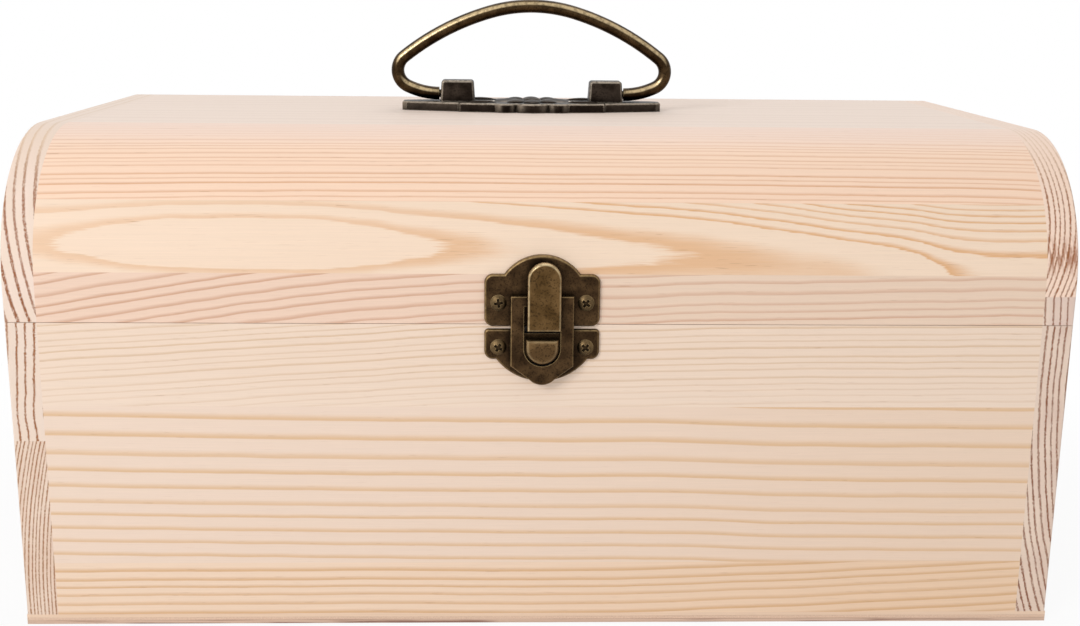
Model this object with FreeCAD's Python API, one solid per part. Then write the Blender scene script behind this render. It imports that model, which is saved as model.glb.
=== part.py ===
# Wooden money box: pine chest with a rounded lid, a bronze latch, a bail handle and two butt hinges.
# Millimetres, +X to the right, +Y to the back, +Z up. The origin is the middle of the underside.
import FreeCAD
import Part
import math
import os

V = FreeCAD.Vector

# Box
box_width = 300.0
box_depth = 192.0
seam_height = 90.5
saw_cut = 0.16
wall_thickness = 9.0
end_thickness = 9.0
base_thickness = 3.0
edge_round = 0.8

# Glue lines between the boards
front_lower_glue_line = 19.0
front_upper_glue_line = 66.3
left_end_glue_line = 56.0
right_end_glue_above_seam = 8.3

# Lid
lid_straight_height = 10.5
lid_radius = 41.0
rail_joint_angle = 5.2
stave_joint_angle = 34.0

# Latch plates
latch_x = -0.9
ear_half_width = 16.15
ear_corner = 2.4
lid_plate_thickness = 1.2
lid_plate_bottom = -0.45
lid_plate_overhang_gap = 0.15
lid_ear_top = 14.35
arch_radius = 13.1
arch_top = 19.75
body_plate_thickness = 1.1
body_ear_top = -1.25
body_ear_bottom = -10.0
lobe_radius = 16.0
lobe_bottom = -16.4
plate_edge_round = 0.85

# Latch housing on the box plate, with its slot
housing_half_width = 8.8
housing_top = 8.6
housing_shoulder = -11.35
housing_wall = 1.0
housing_lid_gap = 0.5
housing_edge_round = 0.45
nose_root = (3.5, -15.3)
nose_tip = -16.8
slot_half_width = 5.1
slot_top = 5.8
slot_bottom = -11.35

# Hasp tongue and its pin
hasp_offset = 0.5
tongue_half_width = 4.7
tongue_bottom = -0.9
tongue_top = 18.4
tongue_thickness = 2.2
tongue_gap = 0.5
tongue_round = 0.9
hasp_axis_height = 16.4
hasp_axis_behind = 0.3
barrel_radius = 1.0
barrel_half_length = 2.3
hasp_pin_radius = 0.5
plate_knuckle_width = 1.8
knuckle_side_gap = 0.2
knuckle_round_gap = 0.25
knuckle_web_below = 0.35
running_clearance = 0.05

# Thumb button with its leaf spring
button_side_gap = 0.45
button_end_gap = 0.7
button_top = -3.2
button_proud = 1.8
button_round = 1.6
button_travel = 1.2
button_flange = 1.1
button_flange_thickness = 0.8
button_flange_gap = 0.3
button_back_gap = 0.3
spring_width = 4.0
spring_thickness = 0.3
spring_foot = 0.6
spring_contact_gap = 0.05

# Latch screws
latch_screw_inset = 3.95
lid_screw_height = 6.35
body_screw_height = -6.4
latch_screw_head = 2.3
latch_screw_head_height = 1.0
latch_screw_shank = 1.0
latch_screw_length = 7.5

# Handle
handle_x = -2.1
plate_half_length = 43.5
plate_tip_half_width = 3.4
plate_tip_corner = 1.5
plate_neck = (31.0, 6.6)
plate_cusp = (24.6, 8.4)
plate_shoulder = (24.0, 9.3)
plate_lobe_root = (12.2, 10.9)
plate_side_lobe = (8.8, 12.6)
plate_centre_root = (5.4, 11.2)
plate_centre_lobe = 13.4
plate_thickness = 3.0
plate_bevel = 0.4
relief_radius = 4.6
relief_height = 0.9
relief_spacing = 8.6
bail_half_width = 45.0
bail_rise = 29.0
bail_rod = 2.15
bail_crown_radius = 50.0
bail_crown_angle = 16.3
bail_shoulder_radius = 85.0
bail_bend_radius = 5.8
bail_pin_radius = 1.3
bail_pin_length = 5.0
bail_end_gap = 0.4
pivot_gap = 0.3
lug_centre = 24.9
lug_width = 11.6
lug_depth = 8.6
lug_height = 7.0
lug_draft = 0.45
lug_round = 1.0
handle_screw_x = 14.4
handle_screw_head = 2.6
handle_screw_head_height = 1.5
handle_screw_shank = 1.3
handle_screw_grip = 6.5

# Hinges
hinge_end_inset = 60.0
hinge_length = 26.0
hinge_leaf_height = 10.0
hinge_leaf_thickness = 1.0
hinge_axis_stand_off = 2.3
hinge_knuckle_radius = 1.9
hinge_pin_radius = 1.0
hinge_knuckle_gap = 0.2
hinge_leaf_gap = 0.3
hinge_swing_gap = 0.35
hinge_screw_spacing = 16.0
hinge_screw_head = 2.0
hinge_screw_head_height = 0.9
hinge_screw_shank = 0.9
hinge_screw_length = 7.0

# Cross recess of every screw, as shares of the head it is cut in
recess_reach = 0.54
recess_width = 0.34
recess_depth = 0.75
screw_tip = 2.0

# Turn of the recess of each screw, in degrees
lid_screw_turns = (8, 52)
body_screw_turns = (60, 48)
handle_screw_turn = 20
hinge_screw_turn = 25

# A quarter of a full turn, from the upright wall of the lid to its level top, in degrees
quarter_turn = 90

# Values that follow from the sizes above
half_width = box_width / 2
half_depth = box_depth / 2
inner_x = half_width - end_thickness
box_rim = seam_height - saw_cut / 2
lid_rim = seam_height + saw_cut / 2
round_start = seam_height + lid_straight_height
lid_top = round_start + lid_radius
inner_radius = lid_radius - wall_thickness
latch_screw_x = ear_half_width - latch_screw_inset
plate_top = lid_top + plate_thickness
pivot_height = plate_top + bail_rod + pivot_gap
lug_outer = lug_centre + lug_width / 2
flange_back = button_back_gap + button_travel
flange_front = flange_back + button_flange_thickness
housing_inner = flange_front + button_flange_gap
housing_front = housing_inner + housing_wall
tongue_back = housing_front + tongue_gap
tongue_front = tongue_back + tongue_thickness
hasp_x = latch_x + hasp_offset
hasp_axis_depth = tongue_back - hasp_axis_behind
hinge_x = half_width - hinge_end_inset
hinge_axis_y = half_depth + hinge_axis_stand_off


def block(low, high):
    """Box between two opposite corners."""
    return Part.makeBox(high[0] - low[0], high[1] - low[1], high[2] - low[2], V(*low))


def wire(place, path):
    """Closed wire: two points of the path make a line, three make an arc."""
    edges = []
    for points in path:
        spots = [place(*point) for point in points]
        curve = Part.LineSegment(*spots) if len(spots) == 2 else Part.Arc(*spots)
        edges.append(curve.toShape())
    return Part.Wire(edges)


def slab(place, path, sweep):
    """Solid that a closed path sweeps along a vector."""
    return Part.Face(wire(place, path)).extrude(sweep)


def rounded(corners):
    """Closed path through corners (a, b, radius), each rounded by its own tangent arc."""
    arcs = []
    for index, (a, b, radius) in enumerate(corners):
        here = V(a, b, 0)
        before = V(*corners[index - 1][:2], 0)
        after = V(*corners[(index + 1) % len(corners)][:2], 0)
        back = (before - here).normalize()
        ahead = (after - here).normalize()
        half_angle = back.getAngle(ahead) / 2
        run = radius / math.tan(half_angle)
        inward = (back + ahead).normalize()
        middle = here + inward * (radius / math.sin(half_angle) - radius)
        arcs.append([here + back * run, middle, here + ahead * run])
    path = []
    for index, (start, middle, end) in enumerate(arcs):
        following = arcs[(index + 1) % len(arcs)][0]
        if corners[index][2] > 0:
            path.append([(start.x, start.y), (middle.x, middle.y), (end.x, end.y)])
        if end.distanceToPoint(following) > 1e-6:
            path.append([(end.x, end.y), (following.x, following.y)])
    return path


def round_edges(solid, radius, wanted):
    """Fillet on the edges that the test picks."""
    return solid.makeFillet(radius, [edge for edge in solid.Edges if wanted(edge)])


def flat_in(edge, axis, value):
    """True for an edge that lies in the plane where the axis has this value."""
    low = getattr(edge.BoundBox, axis + "Min")
    high = getattr(edge.BoundBox, axis + "Max")
    return abs(low - value) < 1e-4 and abs(high - value) < 1e-4


def side_at(x):
    """Plane across the box at x, with points (y, z)."""
    return lambda y, z: V(x, y, z)


def front_at(depth, centre=0.0):
    """Plane that stands depth in front of the box front, with points (x, height above the seam)."""
    return lambda x, height: V(centre + x, -half_depth - depth, seam_height + height)


def level_at(z):
    """Level plane under the handle, with points (x from its middle, y)."""
    return lambda x, y: V(handle_x + x, y, z)


def rod_x(radius, x_start, x_end, y, z):
    """Round rod along X."""
    return Part.makeCylinder(radius, x_end - x_start, V(x_start, y, z), V(1, 0, 0))


def screw(spot, outward, spin, head, head_height, shank, length, sunk):
    """Wood screw whose head seat is at the spot, and the plain body that makes its hole."""
    if sunk:
        top = 0.0
        cap = Part.makeCone(shank, head, head_height, V(0, 0, -head_height))
    else:
        top = head_height
        dome = (head**2 + head_height**2) / (2 * head_height)
        cap = Part.makeSphere(dome, V(0, 0, head_height - dome))
        cap = cap.common(Part.makeCylinder(head, head_height))
    stem = Part.makeCylinder(shank, length - screw_tip, V(0, 0, screw_tip - length))
    tip = Part.makeCone(0, shank, screw_tip, V(0, 0, -length))
    body = cap.fuse([stem, tip]).removeSplitter()
    reach = head * recess_reach
    half_slot = head * recess_width / 2
    floor = top - head_height * recess_depth
    above = top + head_height
    recess = block((-reach, -half_slot, floor), (reach, half_slot, above))
    recess = recess.fuse(block((-half_slot, -reach, floor), (half_slot, reach, above)))
    turn = FreeCAD.Rotation(V(0, 0, 1), outward).multiply(FreeCAD.Rotation(V(0, 0, 1), spin))
    place = FreeCAD.Placement(spot, turn).toMatrix()
    return body.cut(recess).transformGeometry(place), body.transformGeometry(place)


def wall_board(side, low, high):
    """Front (-1) or back (1) board between the end boards."""
    outer = side * half_depth
    inner = side * (half_depth - wall_thickness)
    return block((-inner_x, min(outer, inner), low), (inner_x, max(outer, inner), high))


def end_board(side, low, high):
    """Left (-1) or right (1) end board, with its outer upright edges eased."""
    x_low = -half_width if side < 0 else inner_x
    board = block((x_low, -half_depth, low), (x_low + end_thickness, half_depth, high))
    outer = side * half_width
    return round_edges(board, edge_round, lambda edge: flat_in(edge, "X", outer)
                       and edge.BoundBox.YLength < 1e-4)


def lid_point(side, angle, radius):
    """Point of the rounded lid edge at an angle up from the horizontal, as (y, z)."""
    turn = math.radians(angle)
    y = half_depth - lid_radius + radius * math.cos(turn)
    return side * y, round_start + radius * math.sin(turn)


def lid_stave(side, low_angle, high_angle):
    """Stave with a rounded outside, a flat inside and radial glue faces."""
    middle = (low_angle + high_angle) / 2
    low_out = lid_point(side, low_angle, lid_radius)
    high_out = lid_point(side, high_angle, lid_radius)
    low_in = lid_point(side, low_angle, inner_radius)
    high_in = lid_point(side, high_angle, inner_radius)
    path = [
        [low_out, lid_point(side, middle, lid_radius), high_out],
        [high_out, high_in],
        [high_in, low_in],
        [low_in, low_out],
    ]
    return slab(side_at(-inner_x), path, V(2 * inner_x, 0, 0))


def lid_rail(side):
    """Lowest board of the lid wall: straight at the rim, then the start of the round."""
    outer_rim = (side * half_depth, lid_rim)
    inner_rim = (side * (half_depth - wall_thickness), lid_rim)
    start = lid_point(side, 0, lid_radius)
    middle = lid_point(side, rail_joint_angle / 2, lid_radius)
    end = lid_point(side, rail_joint_angle, lid_radius)
    inner_end = lid_point(side, rail_joint_angle, inner_radius)
    path = [
        [outer_rim, start],
        [start, middle, end],
        [end, inner_end],
        [inner_end, inner_rim],
        [inner_rim, outer_rim],
    ]
    return slab(side_at(-inner_x), path, V(2 * inner_x, 0, 0))


def lid_end(side):
    """End of the lid: the whole rounded profile, with its outer edge eased."""
    front_foot = (-half_depth, lid_rim)
    back_foot = (half_depth, lid_rim)
    angles = (0, quarter_turn / 2, quarter_turn)
    front = [lid_point(-1, angle, lid_radius) for angle in angles]
    back = [lid_point(1, angle, lid_radius) for angle in angles[::-1]]
    path = [
        [front_foot, front[0]],
        front,
        [front[2], back[0]],
        back,
        [back[2], back_foot],
        [back_foot, front_foot],
    ]
    x_low = -half_width if side < 0 else inner_x
    board = slab(side_at(x_low), path, V(end_thickness, 0, 0))
    outer = side * half_width
    return round_edges(board, edge_round, lambda edge: flat_in(edge, "X", outer)
                       and not flat_in(edge, "Z", lid_rim))


def between_heights(solid, low, high):
    """The part of a solid between two heights."""
    reach = box_width
    return solid.common(block((-reach, -reach, low), (reach, reach, high)))


def latch_block(x_half, low, high, back, front):
    """Block on the latch: half width, heights above the seam, depths in front of the box."""
    corner = (latch_x - x_half, -half_depth - front, seam_height + low)
    return block(corner, (latch_x + x_half, -half_depth - back, seam_height + high))


def eased_front(solid, depth, radius):
    """Round the outline of the latch piece's front face at this depth."""
    return round_edges(solid, radius, lambda edge: flat_in(edge, "Y", -half_depth - depth))


def hasp_rod(radius, x_start, x_end):
    """Round rod along the hasp's axis, between two places across the tongue."""
    y = -half_depth - hasp_axis_depth
    return rod_x(radius, hasp_x + x_start, hasp_x + x_end, y, seam_height + hasp_axis_height)


def make_lid_plate(lid_walls):
    """Latch plate on the lid: two ears and an arch with a rolled edge, and a knuckle for the hasp pin.

    The blank starts inside the wood, and what the lid's front fills is trimmed away. Its lower edge hangs
    over the seam, a little off the box.
    """
    seat = wall_thickness / 2
    front = V(0, -lid_plate_thickness - seat, 0)
    ears = rounded([
        (-ear_half_width, lid_plate_bottom, ear_corner),
        (ear_half_width, lid_plate_bottom, ear_corner),
        (ear_half_width, lid_ear_top, ear_corner),
        (-ear_half_width, lid_ear_top, ear_corner),
    ])
    plate = slab(front_at(-seat, latch_x), ears, front)
    arch_centre = arch_top - arch_radius
    disc_spot = front_at(-seat, latch_x)(0, arch_centre)
    disc = Part.makeCylinder(arch_radius, lid_plate_thickness + seat, disc_spot, V(0, -1, 0))
    above = latch_block(arch_radius, arch_centre, arch_top, -seat, lid_plate_thickness)
    plate = plate.fuse(disc.common(above)).removeSplitter()
    plate = eased_front(plate, lid_plate_thickness, plate_edge_round)
    half_knuckle = plate_knuckle_width / 2
    knuckle = hasp_rod(barrel_radius, -half_knuckle, half_knuckle)
    web_bottom = seam_height + hasp_axis_height - barrel_radius
    web_top = seam_height + hasp_axis_height - knuckle_web_below
    web_low = (hasp_x - half_knuckle, -half_depth - hasp_axis_depth, web_bottom)
    web_high = (hasp_x + half_knuckle, -half_depth, web_top)
    bore = hasp_rod(hasp_pin_radius + running_clearance, -tongue_half_width, tongue_half_width)
    plate = plate.fuse([knuckle, block(web_low, web_high)]).cut(bore)
    reach = 2 * ear_half_width
    overhang = latch_block(reach, 2 * lid_plate_bottom, saw_cut / 2, -seat, lid_plate_overhang_gap)
    return plate.cut(lid_walls + [overhang]).removeSplitter()


def tongue_knuckles():
    """Spans across the tongue of its two knuckles, one at each side of the plate's."""
    near = plate_knuckle_width / 2 + knuckle_side_gap
    return [(-barrel_half_length, -near), (near, barrel_half_length)]


def make_tongue():
    """Hasp tongue: rounded bar with an arched top, and two knuckles behind it that hold the pin."""
    half = tongue_half_width
    spring_line = tongue_top - half
    outline = [
        [(-half, tongue_bottom), (half, tongue_bottom)],
        [(half, tongue_bottom), (half, spring_line)],
        [(half, spring_line), (0, tongue_top), (-half, spring_line)],
        [(-half, spring_line), (-half, tongue_bottom)],
    ]
    bar = slab(front_at(tongue_back, hasp_x), outline, V(0, tongue_back - tongue_front, 0))
    bar = eased_front(bar, tongue_front, tongue_round)
    room = plate_knuckle_width / 2 + knuckle_side_gap
    bar = bar.cut(hasp_rod(barrel_radius + knuckle_round_gap, -room, room))
    bar = bar.fuse([hasp_rod(barrel_radius, *span) for span in tongue_knuckles()])
    return bar.cut(make_hasp_pin())


def make_hasp_pin():
    """Pin through the tongue's knuckles and the plate's."""
    return hasp_rod(hasp_pin_radius, -barrel_half_length, barrel_half_length)


def make_body_plate():
    """Latch plate on the box: ears, a lobed lower edge, and a hollow housing with a slot."""
    ears = rounded([
        (-ear_half_width, body_ear_bottom, ear_corner),
        (ear_half_width, body_ear_bottom, ear_corner),
        (ear_half_width, body_ear_top, ear_corner / 2),
        (-ear_half_width, body_ear_top, ear_corner / 2),
    ])
    lift = V(0, -body_plate_thickness, 0)
    plate = slab(front_at(0, latch_x), ears, lift)
    lobe_spot = front_at(0, latch_x)(0, lobe_bottom + lobe_radius)
    lobe = Part.makeCylinder(lobe_radius, body_plate_thickness, lobe_spot, V(0, -1, 0))
    below = latch_block(lobe_radius, lobe_bottom, body_ear_bottom + ear_corner, 0, body_plate_thickness)
    plate = plate.fuse(lobe.common(below)).removeSplitter()
    plate = eased_front(plate, body_plate_thickness, plate_edge_round)
    half = housing_half_width
    shell = [
        [(-half, housing_top), (-half, housing_shoulder)],
        [(-half, housing_shoulder), (-nose_root[0], nose_root[1])],
        [(-nose_root[0], nose_root[1]), (0, nose_tip), nose_root],
        [nose_root, (half, housing_shoulder)],
        [(half, housing_shoulder), (half, housing_top)],
        [(half, housing_top), (-half, housing_top)],
    ]
    housing = slab(front_at(0, latch_x), shell, V(0, -housing_front, 0))
    housing = eased_front(housing, housing_front, housing_edge_round)
    cavity_half = half - housing_wall
    cavity_low = housing_shoulder + housing_wall
    cavity = latch_block(cavity_half, cavity_low, housing_top - housing_wall, 0, housing_inner)
    lid_room = lid_plate_thickness + housing_lid_gap
    passage = latch_block(2 * half, body_ear_top, 2 * housing_top, 0, lid_room)
    slot_end = slot_bottom + slot_half_width
    slot = latch_block(slot_half_width, slot_end, slot_top, 0, 2 * housing_front)
    slot_spot = front_at(0, latch_x)(0, slot_end)
    slot = slot.fuse(Part.makeCylinder(slot_half_width, 2 * housing_front, slot_spot, V(0, -1, 0)))
    return plate.fuse(housing).cut([cavity, passage, slot]).removeSplitter()


def make_button():
    """Half-round thumb button with a domed front, held in the housing by a flange."""
    half = slot_half_width - button_side_gap
    centre = slot_bottom + button_end_gap + half
    front = housing_front + button_proud
    path = [
        [(half, button_top), (-half, button_top)],
        [(-half, button_top), (-half, centre)],
        [(-half, centre), (0, centre - half), (half, centre)],
        [(half, centre), (half, button_top)],
    ]
    stem = slab(front_at(flange_back, latch_x), path, V(0, flange_back - front, 0))
    stem = round_edges(stem, button_round, lambda edge: flat_in(edge, "Y", -half_depth - front))
    flange_half = slot_half_width + button_flange
    flange_low = housing_shoulder + housing_wall + button_flange_gap
    flange = latch_block(flange_half, flange_low, button_top + button_flange, flange_back, flange_front)
    return stem.fuse(flange).removeSplitter()


def make_button_spring():
    """Bowed leaf spring between the box front and the button's flange."""
    bow = flange_back - spring_contact_gap
    low = slot_bottom + button_end_gap
    high = button_top
    middle = (low + high) / 2
    path = [
        [(low, 0), (middle, bow), (high, 0)],
        [(high, 0), (high - spring_foot, 0)],
        [(high - spring_foot, 0), (middle, bow - spring_thickness), (low + spring_foot, 0)],
        [(low + spring_foot, 0), (low, 0)],
    ]
    x_start = latch_x - spring_width / 2

    def place(height, depth):
        return V(x_start, -half_depth - depth, seam_height + height)

    return slab(place, path, V(spring_width, 0, 0))


def plate_outline():
    """Scalloped outline of the handle plate, the same in all four quarters."""
    tip_side = (plate_half_length, plate_tip_half_width - plate_tip_corner)
    tip_front = (plate_half_length - plate_tip_corner, plate_tip_half_width)
    quarter = [
        [(plate_half_length, 0), tip_side],
        [tip_side, tip_front],
        [tip_front, plate_neck],
        [plate_neck, plate_cusp],
        [plate_cusp, plate_shoulder],
        [plate_shoulder, plate_lobe_root],
        [plate_lobe_root, plate_side_lobe, plate_centre_root],
    ]
    crown = [plate_centre_root, (0, plate_centre_lobe), (-plate_centre_root[0], plate_centre_root[1])]
    mirrored = [[(-x, y) for x, y in points[::-1]] for points in quarter[::-1]]
    half = quarter + [crown] + mirrored
    return half + [[(-x, -y) for x, y in points] for points in half]


def make_handle_plate():
    """Cast plate with relief on its face and a bored lug at each side for the bail's ends."""
    plate = slab(level_at(lid_top), plate_outline(), V(0, 0, plate_thickness))
    top_edges = [edge for edge in plate.Edges if flat_in(edge, "Z", plate_top)]
    plate = plate.makeChamfer(plate_bevel, top_edges)
    dome = (relief_radius**2 + relief_height**2) / (2 * relief_height)
    for step in (-1, 0, 1):
        middle = level_at(plate_top + relief_height - dome)(step * relief_spacing, 0)
        spot = level_at(plate_top)(step * relief_spacing, 0)
        cap = Part.makeSphere(dome, middle).common(Part.makeCylinder(dome, dome, spot))
        plate = plate.fuse(cap)
    for side in (-1, 1):
        plate = plate.fuse(make_lug(side * lug_centre))
    plate = plate.removeSplitter()
    for side in (-1, 1):
        bore = bail_end(side, bail_pin_radius + running_clearance, bail_pin_length + bail_end_gap)
        plate = plate.cut(bore)
    return plate


def make_lug(centre):
    """Cast block that narrows a little towards its rounded top."""
    ends = []
    for height, inset in ((0, 0), (lug_height, lug_draft)):
        x = lug_width / 2 - inset
        y = lug_depth / 2 - inset
        corners = [(centre - x, -y, 0), (centre + x, -y, 0), (centre + x, y, 0), (centre - x, y, 0)]
        ends.append(wire(level_at(plate_top + height), rounded(corners)))
    lug = Part.makeLoft(ends, True, True)
    return round_edges(lug, lug_round, lambda edge: not flat_in(edge, "Z", plate_top))


def bail_end(side, radius, depth):
    """Round end of the bail, or its bore, that reaches this deep into the lug."""
    outer = handle_x + side * (lug_outer + bail_end_gap)
    inner = handle_x + side * (lug_outer - depth)
    return rod_x(radius, min(inner, outer), max(inner, outer), 0, pivot_height)


def make_bail():
    """Bent rod: level ends in the lugs, sweeping out to a tight bend and back over a flattened crown.

    Each half is four tangent arcs, from the lug: a wide foot, the bend, a shoulder and half of the crown.
    """
    start = lug_outer + bail_end_gap
    bend_reach = bail_shoulder_radius - bail_bend_radius
    crown_turn = math.radians(bail_crown_angle)
    crown = (0, bail_rise - bail_crown_radius)
    drop = bail_shoulder_radius - bail_crown_radius
    shoulder = (-drop * math.sin(crown_turn), crown[1] - drop * math.cos(crown_turn))
    bend_x = bail_half_width - bail_bend_radius
    bend_turn = math.asin((bend_x - shoulder[0]) / bend_reach)
    bend = (bend_x, shoulder[1] + bend_reach * math.cos(bend_turn))
    run = bend_x - start
    foot_radius = (run**2 + bend[1]**2 - bail_bend_radius**2) / (2 * (bend[1] - bail_bend_radius))
    foot = (start, foot_radius)
    foot_turn = math.pi - math.asin(run / (foot_radius - bail_bend_radius))

    def arc(centre, radius, first, last):
        turns = (first, (first + last) / 2, last)
        return [(centre[0] + radius * math.sin(t), centre[1] + radius * math.cos(t)) for t in turns]

    right = [
        arc(foot, foot_radius, math.pi, foot_turn),
        arc(bend, bail_bend_radius, foot_turn, bend_turn),
        arc(shoulder, bail_shoulder_radius, bend_turn, crown_turn),
    ]
    left = [[(-x, z) for x, z in points[::-1]] for points in right[::-1]]
    top = arc(crown, bail_crown_radius, crown_turn, -crown_turn)

    def place(x, z):
        return V(handle_x + x, 0, pivot_height + z)

    path = wire(place, right + [top] + left)
    ring = Part.Wire(Part.makeCircle(bail_rod, place(start, 0), V(1, 0, 0)))
    rod = path.makePipeShell([ring], True, True)
    return rod.fuse([bail_end(side, bail_pin_radius, bail_pin_length) for side in (-1, 1)])


def hinge_knuckles(centre, on_lid):
    """X spans of the knuckles of one leaf: the lid has the middle one, the box the outer two."""
    third = hinge_length / 3
    low = centre - hinge_length / 2
    half_gap = hinge_knuckle_gap / 2
    if on_lid:
        return [(low + third + half_gap, low + 2 * third - half_gap)]
    return [(low, low + third - half_gap), (low + 2 * third + half_gap, low + hinge_length)]


def make_leaf(centre, on_lid):
    """Hinge leaf on the back face with its own knuckles, cleared round the other leaf's knuckles."""
    up = 1 if on_lid else -1
    near = seam_height + up * hinge_leaf_gap
    far = seam_height + up * hinge_leaf_height
    low = (centre - hinge_length / 2, half_depth, min(near, far))
    high = (centre + hinge_length / 2, half_depth + hinge_leaf_thickness, max(near, far))
    leaf = block(low, high)
    room = hinge_knuckle_radius + hinge_swing_gap
    for x_start, x_end in hinge_knuckles(centre, not on_lid):
        x_start = x_start - hinge_knuckle_gap
        x_end = x_end + hinge_knuckle_gap
        leaf = leaf.cut(rod_x(room, x_start, x_end, hinge_axis_y, seam_height))
    for x_start, x_end in hinge_knuckles(centre, on_lid):
        leaf = leaf.fuse(rod_x(hinge_knuckle_radius, x_start, x_end, hinge_axis_y, seam_height))
    bore = hinge_pin_radius + (running_clearance if on_lid else 0)
    return leaf.removeSplitter().cut(hinge_pin(centre, bore))


def hinge_pin(centre, radius):
    """Pin through all the knuckles of a hinge."""
    half = hinge_length / 2
    return rod_x(radius, centre - half, centre + half, hinge_axis_y, seam_height)


def hinge_screws(on_lid):
    """Sunk screws of both hinges on one side of the seam, and the bodies of their holes."""
    up = 1 if on_lid else -1
    height = seam_height + up * (hinge_leaf_height + hinge_knuckle_radius) / 2
    made = []
    for hinge_side in (-1, 1):
        for side in (-1, 1):
            x = hinge_side * hinge_x + side * hinge_screw_spacing / 2
            spot = V(x, half_depth + hinge_leaf_thickness, height)
            spin = hinge_screw_turn * (side + 2 * hinge_side)
            made.append(screw(spot, V(0, 1, 0), spin, hinge_screw_head, hinge_screw_head_height,
                              hinge_screw_shank, hinge_screw_length, True))
    return made


def latch_screws(height, seat, spins):
    """Round-headed screws of one latch plate, and the bodies of their holes."""
    made = []
    for side, spin in zip((-1, 1), spins):
        spot = front_at(seat, latch_x)(side * latch_screw_x, height)
        made.append(screw(spot, V(0, -1, 0), spin, latch_screw_head, latch_screw_head_height,
                          latch_screw_shank, latch_screw_length, False))
    return made


def handle_screws():
    """Sunk screws through the handle plate into the lid top, and the bodies of their holes."""
    made = []
    for side in (-1, 1):
        spot = level_at(plate_top)(side * handle_screw_x, 0)
        length = plate_thickness + handle_screw_grip
        made.append(screw(spot, V(0, 0, 1), handle_screw_turn * side, handle_screw_head,
                          handle_screw_head_height, handle_screw_shank, length, True))
    return made


def solids_of(made):
    """The screws themselves, as one group of separate solids."""
    return Part.Compound([pair[0] for pair in made])


def holes_of(made):
    """The bodies that make the screws' holes."""
    return [pair[1] for pair in made]


nodes = {}

# Box: base, front, back and ends
nodes["base_panel"] = block((-half_width, -half_depth, 0), (half_width, half_depth, base_thickness))
wall_heights = [base_thickness, front_lower_glue_line, front_upper_glue_line, box_rim]
for side, face in ((-1, "front"), (1, "back")):
    for index, level in enumerate(("lower", "middle", "upper")):
        board = wall_board(side, wall_heights[index], wall_heights[index + 1])
        nodes[face + "_" + level + "_board"] = board
left_end = end_board(-1, base_thickness, box_rim)
nodes["left_end_lower_board"] = between_heights(left_end, base_thickness, left_end_glue_line)
nodes["left_end_upper_board"] = between_heights(left_end, left_end_glue_line, box_rim)
nodes["right_end_board"] = end_board(1, base_thickness, box_rim)

# Lid: rails, staves and shoulders on both sides, top and ends
for side, face in ((-1, "front"), (1, "back")):
    nodes["lid_" + face + "_rail"] = lid_rail(side)
    nodes["lid_" + face + "_stave"] = lid_stave(side, rail_joint_angle, stave_joint_angle)
    nodes["lid_" + face + "_shoulder"] = lid_stave(side, stave_joint_angle, quarter_turn)
top_half = half_depth - lid_radius
nodes["lid_top_board"] = block((-inner_x, -top_half, lid_top - wall_thickness), (inner_x, top_half, lid_top))
nodes["lid_left_end"] = lid_end(-1)
right_end = lid_end(1)
right_glue_line = seam_height + right_end_glue_above_seam
nodes["lid_right_end_lower"] = between_heights(right_end, lid_rim, right_glue_line)
nodes["lid_right_end_upper"] = between_heights(right_end, right_glue_line, lid_top)

# Latch
lid_front = [nodes["lid_front_rail"], nodes["lid_front_stave"]]
nodes["lid_latch_plate"] = make_lid_plate(lid_front)
nodes["hasp_tongue"] = make_tongue()
nodes["hasp_pin"] = make_hasp_pin()
nodes["body_latch_plate"] = make_body_plate()
nodes["thumb_button"] = make_button()
nodes["button_spring"] = make_button_spring()

# Handle
nodes["handle_plate"] = make_handle_plate()
nodes["handle_bail"] = make_bail()

# Hinges
for side, name in ((-1, "left"), (1, "right")):
    nodes["hinge_" + name + "_box_leaf"] = make_leaf(side * hinge_x, False)
    nodes["hinge_" + name + "_lid_leaf"] = make_leaf(side * hinge_x, True)
    nodes["hinge_" + name + "_pin"] = hinge_pin(side * hinge_x, hinge_pin_radius)

# Screws, and their holes in what they hold
screw_groups = {
    "lid_latch_screws": latch_screws(lid_screw_height, lid_plate_thickness, lid_screw_turns),
    "body_latch_screws": latch_screws(body_screw_height, body_plate_thickness, body_screw_turns),
    "handle_screws": handle_screws(),
    "hinge_box_screws": hinge_screws(False),
    "hinge_lid_screws": hinge_screws(True),
}
screwed_pieces = {
    "lid_latch_screws": ["lid_latch_plate", "lid_front_rail"],
    "body_latch_screws": ["body_latch_plate", "front_upper_board"],
    "handle_screws": ["handle_plate", "lid_top_board"],
    "hinge_box_screws": ["hinge_left_box_leaf", "hinge_right_box_leaf", "back_upper_board"],
    "hinge_lid_screws": ["hinge_left_lid_leaf", "hinge_right_lid_leaf", "lid_back_rail"],
}
for group, made in screw_groups.items():
    for piece in screwed_pieces[group]:
        nodes[piece] = nodes[piece].cut(holes_of(made))
    nodes[group] = solids_of(made)

os.makedirs("parts", exist_ok=True)
for name, shape in nodes.items():
    shape.exportStep("parts/" + name + ".step")
    print(name, len(shape.Solids), round(shape.Volume, 2), shape.isValid())
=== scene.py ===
# %% [markdown]
# # A wooden money box
# The box is a small pine chest with a rounded lid, a bronze hasp latch and a folding bail handle. Its pieces
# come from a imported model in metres, with +X to the right, +Y to the back and +Z up, and they stay where they
# are. This lesson gives them their looks: solid wood whose growth rings run through every board, darkened
# bronze that is rubbed bright on its edges, and the cast ornament of the handle plate.

# %% Load the frame
import math
import bpy
import numpy as np
from mathutils import Matrix, Vector


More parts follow.
